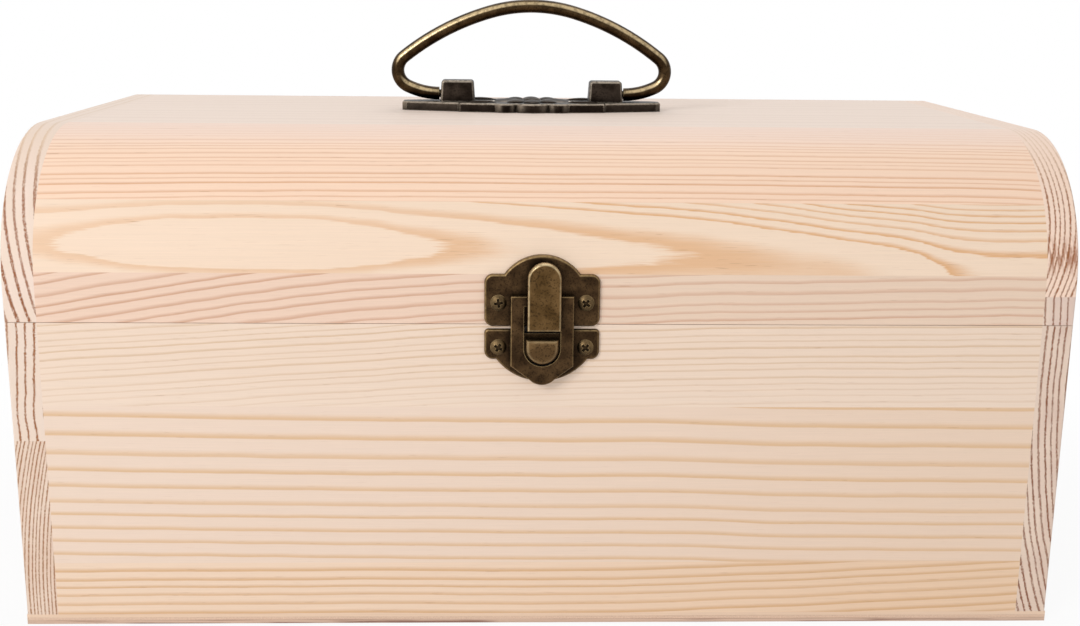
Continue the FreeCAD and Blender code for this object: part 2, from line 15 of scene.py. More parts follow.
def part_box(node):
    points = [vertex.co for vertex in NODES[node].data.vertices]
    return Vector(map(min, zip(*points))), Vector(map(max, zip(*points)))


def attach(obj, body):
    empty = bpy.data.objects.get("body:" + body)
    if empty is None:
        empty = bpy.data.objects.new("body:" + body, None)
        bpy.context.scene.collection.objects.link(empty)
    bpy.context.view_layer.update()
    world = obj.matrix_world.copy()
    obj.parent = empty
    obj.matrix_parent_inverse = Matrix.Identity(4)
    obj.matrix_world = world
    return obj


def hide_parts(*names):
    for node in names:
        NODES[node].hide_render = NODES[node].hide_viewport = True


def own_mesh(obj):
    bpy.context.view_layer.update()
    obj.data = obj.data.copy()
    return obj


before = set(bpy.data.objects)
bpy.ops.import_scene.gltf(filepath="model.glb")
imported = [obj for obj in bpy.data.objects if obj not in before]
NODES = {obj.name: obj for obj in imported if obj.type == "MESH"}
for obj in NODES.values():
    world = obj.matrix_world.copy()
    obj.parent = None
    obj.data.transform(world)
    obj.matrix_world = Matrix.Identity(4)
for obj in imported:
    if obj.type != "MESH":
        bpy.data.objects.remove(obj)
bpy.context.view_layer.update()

MM = 0.001
print("pieces in the frame:", len(NODES))

# %% [markdown]
# ## The camera
# The picture is taken from the front and a little above, with the camera just left of the middle. Its place,
# its turn and its focal length come from a fit to the edges of the box, so they are written as measured:
# millimetres, degrees and pixels of a picture that is 1080 pixels wide. A camera looks along its own -Z, so
# the three columns of its matrix are its right, its up and the reverse of its view.

# %% Camera
SENSOR_MM = 36
PICTURE_WIDTH_PX = 1080
FOCAL_PX = 1378.92
CAMERA_PLACE_MM = (-13.34, -471.31, 181.3)
CAMERA_YAW, CAMERA_PITCH, CAMERA_ROLL = (math.radians(angle) for angle in (1.81, 13.132, 0.605))


def make_camera():
    """Camera whose axes are turned by yaw, then pitched down, then rolled about the line of sight."""
    level = math.cos(CAMERA_PITCH)
    ahead = Vector((math.sin(CAMERA_YAW) * level, math.cos(CAMERA_YAW) * level, -math.sin(CAMERA_PITCH)))
    flat_right = Vector((math.cos(CAMERA_YAW), -math.sin(CAMERA_YAW), 0))
    right = math.cos(CAMERA_ROLL) * flat_right + math.sin(CAMERA_ROLL) * flat_right.cross(ahead)
    up = right.cross(ahead)
    data = bpy.data.cameras.new("camera")
    data.sensor_width = SENSOR_MM
    data.lens = SENSOR_MM * FOCAL_PX / PICTURE_WIDTH_PX
    camera = bpy.data.objects.new("camera", data)
    turn = Matrix((right, up, -ahead)).transposed().to_4x4()
    camera.matrix_world = Matrix.Translation(Vector(CAMERA_PLACE_MM) * MM) @ turn
    bpy.context.scene.collection.objects.link(camera)
    return camera


bpy.context.scene.camera = make_camera()
bpy.context.scene.view_settings.view_transform = "Standard"
print("lens in mm:", round(bpy.context.scene.camera.data.lens, 2))

# %% [markdown]
# ## Small tools for shader nodes
# Every finish below is a graph of shader nodes. Adding nodes by hand takes many lines, so short helpers do
# it. The first adds a node and fills its sockets with numbers or with links, and most of the others are
# shorthand for one kind of node: arithmetic, a change of range, a mix of two colours, noise or a bump. Two
# more open and place a node group, which is an effect with named inputs and outputs that several materials
# share.

# %% Node helpers


def add_node(tree, kind, inputs=None, **settings):
    """Shader node with its settings made and its sockets filled by numbers or linked to other sockets."""
    made = tree.nodes.new("ShaderNode" + kind)
    for name, value in settings.items():
        setattr(made, name, value)
    for key, value in (inputs or {}).items():
        if isinstance(value, bpy.types.NodeSocket):
            tree.links.new(value, made.inputs[key])
        else:
            made.inputs[key].default_value = value
    return made


def calc(tree, operation, *values):
    """Math node on numbers or sockets, as its output socket."""
    return add_node(tree, "Math", dict(enumerate(values)), operation=operation).outputs[0]


def remap(tree, value, low, high, to_low=0.0, to_high=1.0, smooth=True):
    """Value carried from one range to another and held inside it, eased at both ends if smooth."""
    shape = "SMOOTHSTEP" if smooth else "LINEAR"
    inputs = {"Value": value, "From Min": low, "From Max": high, "To Min": to_low, "To Max": to_high}
    return add_node(tree, "MapRange", inputs, interpolation_type=shape).outputs[0]


def mix_colour(tree, share, first, second):
    """Two colours mixed by a share, as a colour socket."""
    return add_node(tree, "Mix", {0: share, 6: first, 7: second}, data_type="RGBA").outputs[2]


def cosine(tree, one, other):
    """Cosine between two directions, as an output socket."""
    return add_node(tree, "VectorMath", {0: one, 1: other}, operation="DOT_PRODUCT").outputs["Value"]


def coordinate(tree, point, axis):
    """One coordinate of a point, named X, Y or Z."""
    return add_node(tree, "SeparateXYZ", {0: point}).outputs[axis]


def millimetres(tree, place, turn=0.0):
    """Place in metres as a point in millimetres, turned about the upright axis."""
    inputs = {"Vector": place, "Rotation": (0, 0, turn), "Scale": (1 / MM,) * 3}
    return add_node(tree, "Mapping", inputs).outputs[0]


def from_middle(tree, value, low, high):
    """How far a value is from the middle of a range."""
    return calc(tree, "ABSOLUTE", calc(tree, "SUBTRACT", value, (low + high) / 2))


def squeezed_noise(tree, point, squeeze, seed, detail=1.0):
    """Noise from 0 to 1 at a point that is first multiplied, axis by axis, by a squeeze."""
    place = add_node(tree, "VectorMath", {0: point, 1: squeeze}, operation="MULTIPLY").outputs[0]
    inputs = {"Vector": place, "W": seed, "Scale": 1.0, "Detail": detail}
    return add_node(tree, "TexNoise", inputs, noise_dimensions="4D").outputs["Fac"]


def stretched_noise(tree, point, lengths, seed, detail=1.0):
    """Noise from 0 to 1 whose lumps have these lengths along the point's three axes."""
    return squeezed_noise(tree, point, [1 / length for length in lengths], seed, detail)


def add_relief(tree, shader, height, strength, depth):
    """Bump on a shader from a height, with a depth in mm for a height of 1."""
    bump = add_node(tree, "Bump", {"Strength": strength, "Distance": depth * MM, "Height": height})
    tree.links.new(bump.outputs[0], shader.inputs["Normal"])


def open_group(name, inputs, outputs):
    """New shader node group, with its input sockets and its output sockets by name."""
    tree = bpy.data.node_groups.new(name, "ShaderNodeTree")
    for direction, sockets in (("INPUT", inputs), ("OUTPUT", outputs)):
        for label, kind in sockets.items():
            tree.interface.new_socket(label, in_out=direction, socket_type="NodeSocket" + kind)
    return tree, tree.nodes.new("NodeGroupInput").outputs, tree.nodes.new("NodeGroupOutput").inputs


def place_group(tree, group, inputs):
    """A group placed in a material with its own values, as its output sockets."""
    return add_node(tree, "Group", inputs, node_tree=group).outputs


def srgb(red, green, blue):
    """Colour as it is read off a screen, 0 to 255, as the linear colour that shaders use."""
    screen = np.array((red, green, blue)) / 255
    linear = np.where(screen <= 0.04045, screen / 12.92, ((screen + 0.055) / 1.055) ** 2.4)
    return (*linear.tolist(), 1.0)


def new_material(name):
    """Material with an empty Principled shader, its tree and the shader node."""
    material = bpy.data.materials.new(name)
    material.use_nodes = True
    return material, material.node_tree, material.node_tree.nodes["Principled BSDF"]


print("a grey of 118 on screen is a linear", round(srgb(118, 118, 118)[0], 3))

# %% [markdown]
# ## Stage and light
# The box stands on a plain white floor in soft daylight from the upper left. The world gives an even light
# of a plain level, and it is white where the camera or a reflection looks at it. The floor does the same:
# most of what the camera sees of it is its own white, and the rest is ordinary diffuse paint, which keeps the
# shadow under the box. Three soft lamps give the light its direction and put the long highlights on the
# bronze.

# %% World and floor
AMBIENT_LEVEL = 0.60
FLOOR_HALF = 8.0
FLOOR_PAINT = (0.86, 0.86, 0.87, 1)
FLOOR_ROUGHNESS = 0.9
SHADOW_SHARE = 0.10
SHADOW_NEAR, SHADOW_FAR = 0.16, 0.32


def seen_directly(tree):
    """1 for camera, glossy and transmission rays, 0 for the rays that carry diffuse light."""
    path = add_node(tree, "LightPath").outputs
    shiny = calc(tree, "MAXIMUM", path["Is Glossy Ray"], path["Is Transmission Ray"])
    return calc(tree, "MAXIMUM", path["Is Camera Ray"], shiny)


def make_world():
    """Even grey light whose visible side is white."""
    world = bpy.data.worlds.new("studio")
    world.use_nodes = True
    tree = world.node_tree
    background = tree.nodes["Background"]
    background.inputs["Color"].default_value = (1, 1, 1, 1)
    level = remap(tree, seen_directly(tree), 0, 1, AMBIENT_LEVEL, 1.0, smooth=False)
    tree.links.new(level, background.inputs["Strength"])
    return world


def make_floor():
    """Large square at the height of the underside, white to the camera but for the shadow near the box."""
    mesh = bpy.data.meshes.new("floor")
    corners = [(x * FLOOR_HALF, y * FLOOR_HALF, 0) for x, y in ((-1, -1), (1, -1), (1, 1), (-1, 1))]
    mesh.from_pydata(corners, [], [(0, 1, 2, 3)])
    floor = bpy.data.objects.new("floor", mesh)
    bpy.context.scene.collection.objects.link(floor)
    material, tree, paint = new_material("floor_white")
    paint.inputs["Base Color"].default_value = FLOOR_PAINT
    paint.inputs["Roughness"].default_value = FLOOR_ROUGHNESS
    glow = add_node(tree, "Emission", {"Color": (1, 1, 1, 1), "Strength": 1.0})
    place = add_node(tree, "TexCoord").outputs["Object"]
    away = add_node(tree, "VectorMath", {0: place}, operation="LENGTH").outputs["Value"]
    white = remap(tree, away, SHADOW_NEAR, SHADOW_FAR, 1 - SHADOW_SHARE, 1.0)
    share = calc(tree, "MULTIPLY", white, seen_directly(tree))
    both = add_node(tree, "MixShader", {0: share, 1: paint.outputs[0], 2: glow.outputs[0]})
    tree.links.new(both.outputs[0], tree.nodes["Material Output"].inputs["Surface"])
    mesh.materials.append(material)
    return floor


bpy.context.scene.world = make_world()
print("floor:", tuple(make_floor().dimensions))

# %% Lamps
AIM = Vector((0, 0, 0.08))


def softbox(name, place, width, height, watts):
    """Rectangular lamp that faces the box."""
    data = bpy.data.lights.new(name, "AREA")
    data.shape = "RECTANGLE"
    data.size, data.size_y = width, height
    data.energy = watts
    lamp = bpy.data.objects.new(name, data)
    lamp.location = place
    lamp.rotation_euler = (AIM - lamp.location).to_track_quat("-Z", "Y").to_euler()
    bpy.context.scene.collection.objects.link(lamp)
    return lamp


softbox("window_left", Vector((-0.62, -0.86, 0.62)), 0.45, 0.45, 4.8)
softbox("fill_right", Vector((0.95, -0.9, 0.4)), 0.6, 0.8, 0.45)
softbox("back_top", Vector((0.1, 0.7, 1.2)), 0.9, 0.5, 2.6)

# %% [markdown]
# ## Pine: growth rings
# A board shows lines because the saw cuts through the tree's yearly rings. The lines could be drawn on each
# face, but then they would not meet at the edges. So the tree itself is described: its heart is a long line
# beside the board, and the growth at a point is the distance to that heart. Along its length the trunk bends,
# swells and leans, which turns straight lines into waves, long arches and closed ovals. Each of the three is
# a smooth curve through a few given points.

# %% Growth ring group
TRUNK_LUMP = 45.0
FINE_LUMP = 12.0
FINE_LENGTH = 0.3
FINE_WAVE = 0.8
RAGGED_LENGTHS = (7.0, 0.3, 0.3)
TRUNK_SHAPES = ("Bend", "Swell", "Lean")
RING_INPUTS = (*TRUNK_SHAPES, "Heart Angle", "Heart Distance", "Wander", "Wander Length", "Ragged", "Seed")


def wandering(tree, point, along_length, across_length, seed):
    """Noise from -1 to 1 with lumps of one length along the grain and another across it."""
    closer = calc(tree, "DIVIDE", 1.0, along_length)
    squeeze = add_node(tree, "CombineXYZ", {0: closer, 1: 1 / across_length, 2: 1 / across_length}).outputs[0]
    return calc(tree, "MULTIPLY_ADD", squeezed_noise(tree, point, squeeze, seed), 2.0, -1.0)


def growth_group():
    """Distance to the heart of the tree less its distance at the board, in mm, for a point in board axes.

    The point has X along the grain, Y into the board and Z across it. Its height across is first lowered by
    the bend of the trunk. The swelling, the lean times the height, slow waves and ragged fibres are added.
    """
    sockets = {"Point": "Vector"} | {label: "Float" for label in RING_INPUTS}
    tree, given, result = open_group("growth rings", sockets, {"Growth": "Float"})
    depth, across = add_node(tree, "SeparateXYZ", {0: given["Point"]}).outputs[1:]
    height = calc(tree, "SUBTRACT", across, given["Bend"])
    slow = wandering(tree, given["Point"], given["Wander Length"], TRUNK_LUMP, given["Seed"])
    quick_length = calc(tree, "MULTIPLY", given["Wander Length"], FINE_LENGTH)
    quick = wandering(tree, given["Point"], quick_length, FINE_LUMP, given["Seed"])
    waves = calc(tree, "MULTIPLY_ADD", quick, FINE_WAVE, slow)
    heart_y = calc(tree, "MULTIPLY", given["Heart Distance"], calc(tree, "COSINE", given["Heart Angle"]))
    heart_z = calc(tree, "MULTIPLY", given["Heart Distance"], calc(tree, "SINE", given["Heart Angle"]))
    from_heart = add_node(tree, "CombineXYZ", {1: calc(tree, "ADD", depth, heart_y),
                                               2: calc(tree, "ADD", height, heart_z)}).outputs[0]
    reach = add_node(tree, "VectorMath", {0: from_heart}, operation="LENGTH").outputs["Value"]
    growth = calc(tree, "SUBTRACT", reach, given["Heart Distance"])
    growth = calc(tree, "MULTIPLY_ADD", given["Lean"], height, calc(tree, "ADD", growth, given["Swell"]))
    ragged = stretched_noise(tree, given["Point"], RAGGED_LENGTHS, given["Seed"])
    growth = calc(tree, "MULTIPLY_ADD", waves, given["Wander"], growth)
    growth = calc(tree, "MULTIPLY_ADD", calc(tree, "SUBTRACT", ragged, 0.5), given["Ragged"], growth)
    tree.links.new(growth, result["Growth"])
    return tree


GROWTH = growth_group()
print("growth ring nodes:", len(GROWTH.nodes))

# %% [markdown]
# ## Pine: late wood and fibres
# In each ring the pale early wood darkens slowly into late wood, and the next spring starts pale again at
# once. That makes a line with one soft edge and one sharp edge. A ramp over the fraction of the ring number
# draws it, and the whole number picks a tone for the ring, because no two years are alike. A second group
# gives what lies along the grain: fine fibres, short dark resin dashes and slow clouds of colour.

# %% Late wood and fibre groups
SHARP_SHARE = 0.16
FIBRE_LENGTHS = (22.0, 0.22, 0.22)
DASH_LENGTHS = (5.0, 0.24, 0.24)
CLOUD_LENGTHS = (95.0, 16.0, 16.0)


def late_wood_group():
    """Soft rise over the last share of each ring, then a sharp fall; and a tone for each ring."""
    tree, given, result = open_group("late wood", {"Ring": "Float", "Share": "Float", "Seed": "Float"},
                                     {"Late": "Float", "Tone": "Float"})
    part = calc(tree, "FRACT", given["Ring"])
    start = calc(tree, "SUBTRACT", 1.0, given["Share"])
    edge = calc(tree, "MULTIPLY_ADD", given["Share"], -SHARP_SHARE, 1.0)
    rise = remap(tree, part, start, edge)
    fall = remap(tree, part, edge, 1.0, 1.0, 0.0)
    tree.links.new(calc(tree, "MULTIPLY", rise, fall), result["Late"])
    number = calc(tree, "ADD", calc(tree, "FLOOR", given["Ring"]), given["Seed"])
    tone = add_node(tree, "TexWhiteNoise", {"W": number}, noise_dimensions="1D").outputs["Value"]
    tree.links.new(tone, result["Tone"])
    return tree


def fibre_group():
    """Fine fibres, short resin dashes and slow clouds, all drawn out along the grain."""
    tree, given, result = open_group("fibres", {"Point": "Vector", "Seed": "Float"},
                                     {"Fibre": "Float", "Dash": "Float", "Cloud": "Float"})
    fibre = stretched_noise(tree, given["Point"], FIBRE_LENGTHS, given["Seed"], 2.0)
    dash = stretched_noise(tree, given["Point"], DASH_LENGTHS, given["Seed"], 0.0)
    cloud = stretched_noise(tree, given["Point"], CLOUD_LENGTHS, given["Seed"], 2.0)
    tree.links.new(fibre, result["Fibre"])
    tree.links.new(remap(tree, dash, 0.72, 0.80), result["Dash"])
    tree.links.new(cloud, result["Cloud"])
    return tree


LATE_WOOD = late_wood_group()
FIBRES = fibre_group()
print("wood groups:", [group.name for group in bpy.data.node_groups])

# %% [markdown]
# ## Pine: one board
# A board's material turns its place in the box into board axes in millimetres, counts the rings and mixes the
# colours. Most boards have rings of one width, with a little noise. Where the lines are few and clear, their
# places are listed instead, and a curve counts them. Lines may fade out along or across a board. Where a face
# cuts across the grain, as on the front edges of the end boards, the same rings show dark and broken. Behind
# the latch housing a black patch of painted shade lies on the wood, so its slot looks empty. Bare wood has
# a bloom when it is seen along its surface, because the tips of its fibres catch the light: that is a sheen.

# %% Ring counting
ALONG, ACROSS = "X", "Z"
UNEVEN_PACE = 0.37


def float_curve(tree, value, points, counting=False):
    """Value carried through points (place, height): smoothly, or if counting, straight and past the ends."""
    places, heights = np.array(sorted(points)).T
    low, rise = heights.min(), np.ptp(heights)
    share = calc(tree, "DIVIDE", calc(tree, "SUBTRACT", value, places[0]), np.ptp(places))
    drawn = add_node(tree, "FloatCurve", {"Value": share})
    curve = drawn.mapping.curves[0]
    spots = np.stack([(places - places[0]) / np.ptp(places), (heights - low) / rise], 1)
    curve.points[0].location, curve.points[1].location = spots[0], spots[-1]
    for spot in spots[1:-1]:
        curve.points.new(*spot)
    for point in curve.points:
        point.handle_type = "VECTOR" if counting else "AUTO"
    drawn.mapping.extend = "EXTRAPOLATED" if counting else "HORIZONTAL"
    drawn.mapping.use_clip = False
    drawn.mapping.update()
    return calc(tree, "MULTIPLY_ADD", drawn.outputs[0], rise, low)


def ring_number(tree, growth, board):
    """Growth counted in rings: by the listed lines, or by one ring width with slow noise."""
    if board["lines"]:
        return float_curve(tree, growth, [(line, n) for n, line in enumerate(sorted(board["lines"]))], True)
    even = calc(tree, "DIVIDE", growth, board["ring_width"])
    inputs = {"W": calc(tree, "MULTIPLY", even, UNEVEN_PACE), "Scale": 1.0, "Detail": 0.0}
    noise = add_node(tree, "TexNoise", inputs, noise_dimensions="1D").outputs["Fac"]
    return calc(tree, "MULTIPLY_ADD", calc(tree, "SUBTRACT", noise, 0.5), 2 * board["uneven"], even)


def board_growth(tree, point, board):
    """Growth at a point of the board, with the trunk's own curves along the grain."""
    along = coordinate(tree, point, ALONG)
    values = {
        "Point": point, "Heart Angle": math.radians(board["heart_angle"]), "Seed": board["seed"],
        "Heart Distance": board["heart_distance"], "Wander": board["wander"],
        "Wander Length": board["wander_length"], "Ragged": board["ragged"],
    }
    for label in TRUNK_SHAPES:
        if board[label.lower()]:
            values[label] = float_curve(tree, along, board[label.lower()])
    return place_group(tree, GROWTH, values)["Growth"]


print("trunk shapes:", TRUNK_SHAPES)

# %% Board material
BOARD_DEFAULTS = dict(
    heart_angle=-90.0, heart_distance=300.0, bend=(), swell=(), lean=(), wander=0.5, wander_length=120.0,
    ragged=0.16, seed=1.0, ring_width=2.2, lines=(), uneven=0.5, share=0.36, strength=0.9, faintest=0.55,
    fade=(), stain=(), early=(238, 215, 196), pale=(238, 215, 196), late=(222, 188, 153),
    flush=(240, 204, 180), flush_share=0.25, end_early=(231, 207, 192), end_late=(140, 97, 75),
    end_line=(0.08, 0.45), soaked=(),
)
BLOOM = 0.30
GRAIN_TURN = {"X": 0.0, "Y": -math.pi / 2}
GRAIN_AXIS = {"X": (1, 0, 0), "Y": (0, 1, 0)}
RESIN = srgb(176, 128, 92)
SOAKED = srgb(158, 88, 44)
# Black of the painted shade that fills the latch slot.
SLOT_SHADE_BLACK = srgb(40, 29, 20)
SLOT_SHADE_EDGE = 0.8
END_COSINES = (0.35, 0.9)
WOOD_SHADES = (0.955, 1.035)
WOOD_ROUGHNESS = (0.62, 0.50)
FIBRE_RELIEF, LATE_RELIEF = 0.5, 0.35


def face_colour(tree, point, marks, line, board):
    """Colour along the grain, of clouds, late wood lines that may fade and resin dashes; and the lines."""
    late = calc(tree, "MULTIPLY", line["Late"],
                remap(tree, line["Tone"], 0, 1, board["faintest"], 1.0, smooth=False))
    colour = srgb(*board["early"])
    if board["fade"]:
        axis, full, gone, rest = board["fade"]
        place = coordinate(tree, point, axis)
        late = calc(tree, "MULTIPLY", late, remap(tree, place, full, gone, 1.0, rest))
        colour = mix_colour(tree, remap(tree, place, full, gone), colour, srgb(*board["pale"]))
    flush = calc(tree, "MULTIPLY", marks["Cloud"], board["flush_share"])
    colour = mix_colour(tree, flush, colour, srgb(*board["flush"]))
    colour = mix_colour(tree, calc(tree, "MULTIPLY", late, board["strength"]), colour, srgb(*board["late"]))
    dash = calc(tree, "MULTIPLY", marks["Dash"], calc(tree, "MULTIPLY_ADD", line["Late"], 0.30, 0.10))
    return mix_colour(tree, dash, colour, RESIN), late


def end_colour(tree, point, line, board):
    """Colour across the grain: the late wood is a thin dark line, broken by pores.

    Between the two heights that soaked gives, in mm above the board's middle, resin darkens the ground.
    """
    tone = remap(tree, line["Tone"], 0, 1, board["faintest"], 1.0, smooth=False)
    pores = stretched_noise(tree, point, (60.0, 0.40, 0.50), board["seed"], 2.0)
    thin = remap(tree, line["Late"], *board["end_line"])
    broken = remap(tree, pores, 0.36, 0.52, 0.45, 1.0)
    cut = calc(tree, "MULTIPLY", calc(tree, "MULTIPLY", thin, tone), broken)
    patch = stretched_noise(tree, point, (60.0, 7.0, 16.0), board["seed"], 1.0)
    ground = mix_colour(tree, remap(tree, patch, 0.3, 0.7), srgb(*board["end_early"]), srgb(*board["early"]))
    if board["soaked"]:
        low, high = board["soaked"]
        off = from_middle(tree, coordinate(tree, point, ACROSS), low, high)
        streaks = stretched_noise(tree, point, (60.0, 0.8, 3.0), board["seed"], 2.0)
        dark = calc(tree, "MULTIPLY", remap(tree, off, 0, (high - low) / 2, 0.8, 0.0),
                    remap(tree, streaks, 0.35, 0.6))
        ground = mix_colour(tree, dark, ground, SOAKED)
    return mix_colour(tree, cut, ground, srgb(*board["end_late"]))


def stained(tree, point, colour, rectangle):
    """Colour of the board, painted black as shade inside a rectangle (left, right, low, high) of its face in
    mm.
    """
    inside = 1.0
    for axis, low, high in ((ALONG, *rectangle[:2]), (ACROSS, *rectangle[2:])):
        off = from_middle(tree, coordinate(tree, point, axis), low, high)
        half = (high - low) / 2
        inside = calc(tree, "MULTIPLY", inside, remap(tree, off, half - SLOT_SHADE_EDGE, half, 1.0, 0.0))
    return mix_colour(tree, inside, colour, SLOT_SHADE_BLACK)


def fibre_shade(tree, colour, fibre, darkest, lightest):
    """Colour made darker and lighter by the fibres."""
    shade = remap(tree, fibre, 0.2, 0.8, darkest, lightest, smooth=False)
    return add_node(tree, "VectorMath", {0: colour, "Scale": shade}, operation="SCALE").outputs[0]


def pine_board(name, grain, middle, **choices):
    """Material of one pine board: middle is a point of its face in mm, and the grain runs along an axis."""
    board = BOARD_DEFAULTS | choices
    material, tree, shader = new_material("pine_" + name)
    seat = add_node(tree, "TexCoord").outputs
    start = [value * MM for value in middle]
    place = add_node(tree, "VectorMath", {0: seat["Object"], 1: start}, operation="SUBTRACT").outputs[0]
    point = millimetres(tree, place, GRAIN_TURN[grain])
    ring = ring_number(tree, board_growth(tree, point, board), board)
    line = place_group(tree, LATE_WOOD, {"Ring": ring, "Share": board["share"], "Seed": board["seed"]})
    marks = place_group(tree, FIBRES, {"Point": point, "Seed": board["seed"]})
    colour, late = face_colour(tree, point, marks, line, board)
    end = calc(tree, "ABSOLUTE", cosine(tree, seat["Normal"], GRAIN_AXIS[grain]))
    colour = mix_colour(tree, remap(tree, end, *END_COSINES), colour, end_colour(tree, point, line, board))
    # A rectangle of painted shade darkens the wood that is seen through the latch slot.
    if board["stain"]:
        colour = stained(tree, point, colour, board["stain"])
    colour = fibre_shade(tree, colour, marks["Fibre"], *WOOD_SHADES)
    tree.links.new(colour, shader.inputs["Base Color"])
    shader.inputs["Sheen Weight"].default_value = BLOOM
    tree.links.new(remap(tree, late, 0, 1, *WOOD_ROUGHNESS, smooth=False), shader.inputs["Roughness"])
    ridges = calc(tree, "MULTIPLY", late, LATE_RELIEF)
    relief = calc(tree, "MULTIPLY_ADD", marks["Fibre"], FIBRE_RELIEF, ridges)
    add_relief(tree, shader, relief, strength=0.25, depth=0.12)
    return material


def dress(material, *names):
    """Give CAD nodes their material."""
    for name in names:
        NODES[name].data.materials[0] = material


print("board values:", len(BOARD_DEFAULTS))

# %% [markdown]
# ## The front of the box
# Three boards are glued edge to edge. The lowest and the middle one have clear amber lines, and the upper one
# has fine lines that climb to the right. The lid rail was sawn from the outside of the same trunk, where the
# rings bend more, and its lines are broad and reddish at the left.

# %% Front boards
FRONT_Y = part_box("front_middle_board")[0].y / MM
SEAM_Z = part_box("front_upper_board")[1].z / MM
MIDDLE_LINES_Z = (66.8, 61.3, 55.6, 49.9, 45.1, 40.3, 35.6, 31.9, 27.7, 23.7, 19.6)
LOWER_LINES_Z = (18.8, 15.8, 13.0, 10.8, 8.3, 5.4, 2.6, -0.1, -2.2)


def depths_below(height, lines):
    """Heights of lines as growth, which counts downwards from a height."""
    return [height - line for line in lines]


middle_pine = pine_board(
    "front_middle", "X", (0, FRONT_Y, 45.0), lines=depths_below(45.0, MIDDLE_LINES_Z), seed=3.1,
    bend=((-150, 2.1), (-50, 0.5), (0, 0), (30, 0), (70, -1.2), (150, -1.9)), wander=0.35, wander_length=60.0,
    share=0.44, strength=1.0, faintest=0.75, fade=(ALONG, -60.0, 140.0, 1.0), early=(240, 217, 198),
    pale=(238, 212, 189), late=(226, 187, 145), flush=(240, 210, 188),
)
lower_pine = pine_board(
    "front_lower", "X", (0, FRONT_Y, 10.0), lines=depths_below(10.0, LOWER_LINES_Z), seed=8.4,
    bend=((-150, 0.1), (-40, 0.3), (0, 0), (60, 1.6), (100, 3.3), (150, 6.2)), wander=0.3, wander_length=60.0,
    share=0.60, strength=1.0, faintest=0.75, fade=(ALONG, -60.0, 140.0, 1.0), early=(243, 217, 193),
    pale=(239, 207, 176), late=(220, 177, 132), flush=(240, 206, 175),
)
# This board carries the painted shade behind the latch housing, so the slot looks empty.
upper_pine = pine_board(
    "front_upper", "X", (0, FRONT_Y, SEAM_Z), ring_width=2.0, seed=5.7, uneven=0.45, share=0.42,
    bend=((-150, -8.0), (-50, -1.4), (-20, 0.5), (20, 1.6), (60, 2.6), (100, 3.1), (150, 3.2)), wander=0.5,
    wander_length=60.0, strength=0.95, fade=(ACROSS, -8.0, -24.0, 0.45), stain=(-8.4, 6.6, -11.0, 1.0),
    early=(241, 218, 197), pale=(242, 220, 200), late=(220, 186, 151), flush=(242, 212, 191),
)
rail_pine = pine_board(
    "lid_rail", "X", (0, FRONT_Y, SEAM_Z), ring_width=2.75, seed=5.7, uneven=0.5, share=0.50, faintest=0.7,
    bend=((-150, -16.4), (-100, -8.4), (-70, -3.8), (-40, -0.7), (-20, 0.6), (20, 2.0), (70, 3.7),
          (150, 4.6)),
    wander=0.6, wander_length=45.0, strength=1.0, fade=(ALONG, -60.0, 40.0, 0.75), early=(241, 211, 189),
    pale=(236, 211, 188), late=(210, 161, 130), flush=(238, 199, 175),
)
dress(middle_pine, "front_middle_board")
dress(lower_pine, "front_lower_board")
dress(upper_pine, "front_upper_board")
dress(rail_pine, "lid_front_rail")
print("front lines:", len(MIDDLE_LINES_Z), "and", len(LOWER_LINES_Z))

# %% [markdown]
# ## The front of the lid
# The stave is cut almost along the rings, and rounding it uncovered a long oval at the left, a second line
# that runs round it and ends in a broad amber flame, and lines that dive to the right, where the trunk
# narrows. The shoulder above it is cut straight across the rings, so it has many even lines, which fade
# towards the top, and the top board shows hardly any.

# %% Lid boards
ROUND_CENTRE_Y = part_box("lid_top_board")[0].y / MM
LID_RADIUS = ROUND_CENTRE_Y - FRONT_Y
ROUND_START_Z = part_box("lid_top_board")[1].z / MM - LID_RADIUS
STAVE_CREST = 16.6
SHOULDER_MIDDLE = 62.0


def lid_spot(angle):
    """Point of the rounded lid at an angle up from the horizontal, in the middle of its length."""
    turn = math.radians(angle)
    return 0, ROUND_CENTRE_Y - LID_RADIUS * math.cos(turn), ROUND_START_Z + LID_RADIUS * math.sin(turn)


stave_pine = pine_board(
    "lid_stave", "X", lid_spot(STAVE_CREST), heart_angle=180 - STAVE_CREST, heart_distance=600.0, seed=2.3,
    lines=(-4.1, -3.4, -2.7, -2.1, -0.8, 0.0, 1.6), wander=0.08, wander_length=32.0, share=0.52,
    swell=((-150, -0.3), (-134, 0), (-81, 0.58), (-29, 0), (12, -0.64), (34, -0.87), (67, -1.4),
           (100, -2.25), (127, -3.15), (150, -3.1)), faintest=0.75,
    lean=((-81, 0), (-29, -0.02), (34, -0.06), (67, -0.125), (100, -0.19), (150, -0.18)), strength=1.0,
    fade=(ALONG, 20.0, -70.0, 0.6), early=(246, 221, 197), pale=(246, 220, 196), late=(227, 177, 129),
    flush=(243, 211, 179),
)
shoulder_pine = pine_board(
    "lid_shoulder", "X", lid_spot(SHOULDER_MIDDLE), heart_angle=180 - SHOULDER_MIDDLE + 90, seed=6.6,
    heart_distance=260.0, ring_width=1.85, bend=((-150, -1.7), (0, 1.2), (150, -3.4)), wander=0.3,
    wander_length=70.0, share=0.50, strength=1.0, uneven=0.7, faintest=0.4, fade=(ACROSS, -1.2, 3.5, 0.3),
    early=(253, 221, 194), pale=(249, 221, 202), late=(226, 175, 136), flush=(245, 204, 180), flush_share=0.4,
)
top_pine = pine_board(
    "lid_top", "X", lid_spot(90), heart_angle=60.0, heart_distance=400.0, ring_width=5.0, seed=9.2,
    wander=1.2, wander_length=200.0, share=0.5, strength=0.6, early=(242, 219, 201), late=(229, 200, 178),
    flush=(241, 210, 190),
)
dress(stave_pine, "lid_front_stave")
dress(shoulder_pine, "lid_front_shoulder")
dress(top_pine, "lid_top_board")
print("crest of the stave:", [round(v, 1) for v in lid_spot(STAVE_CREST)])

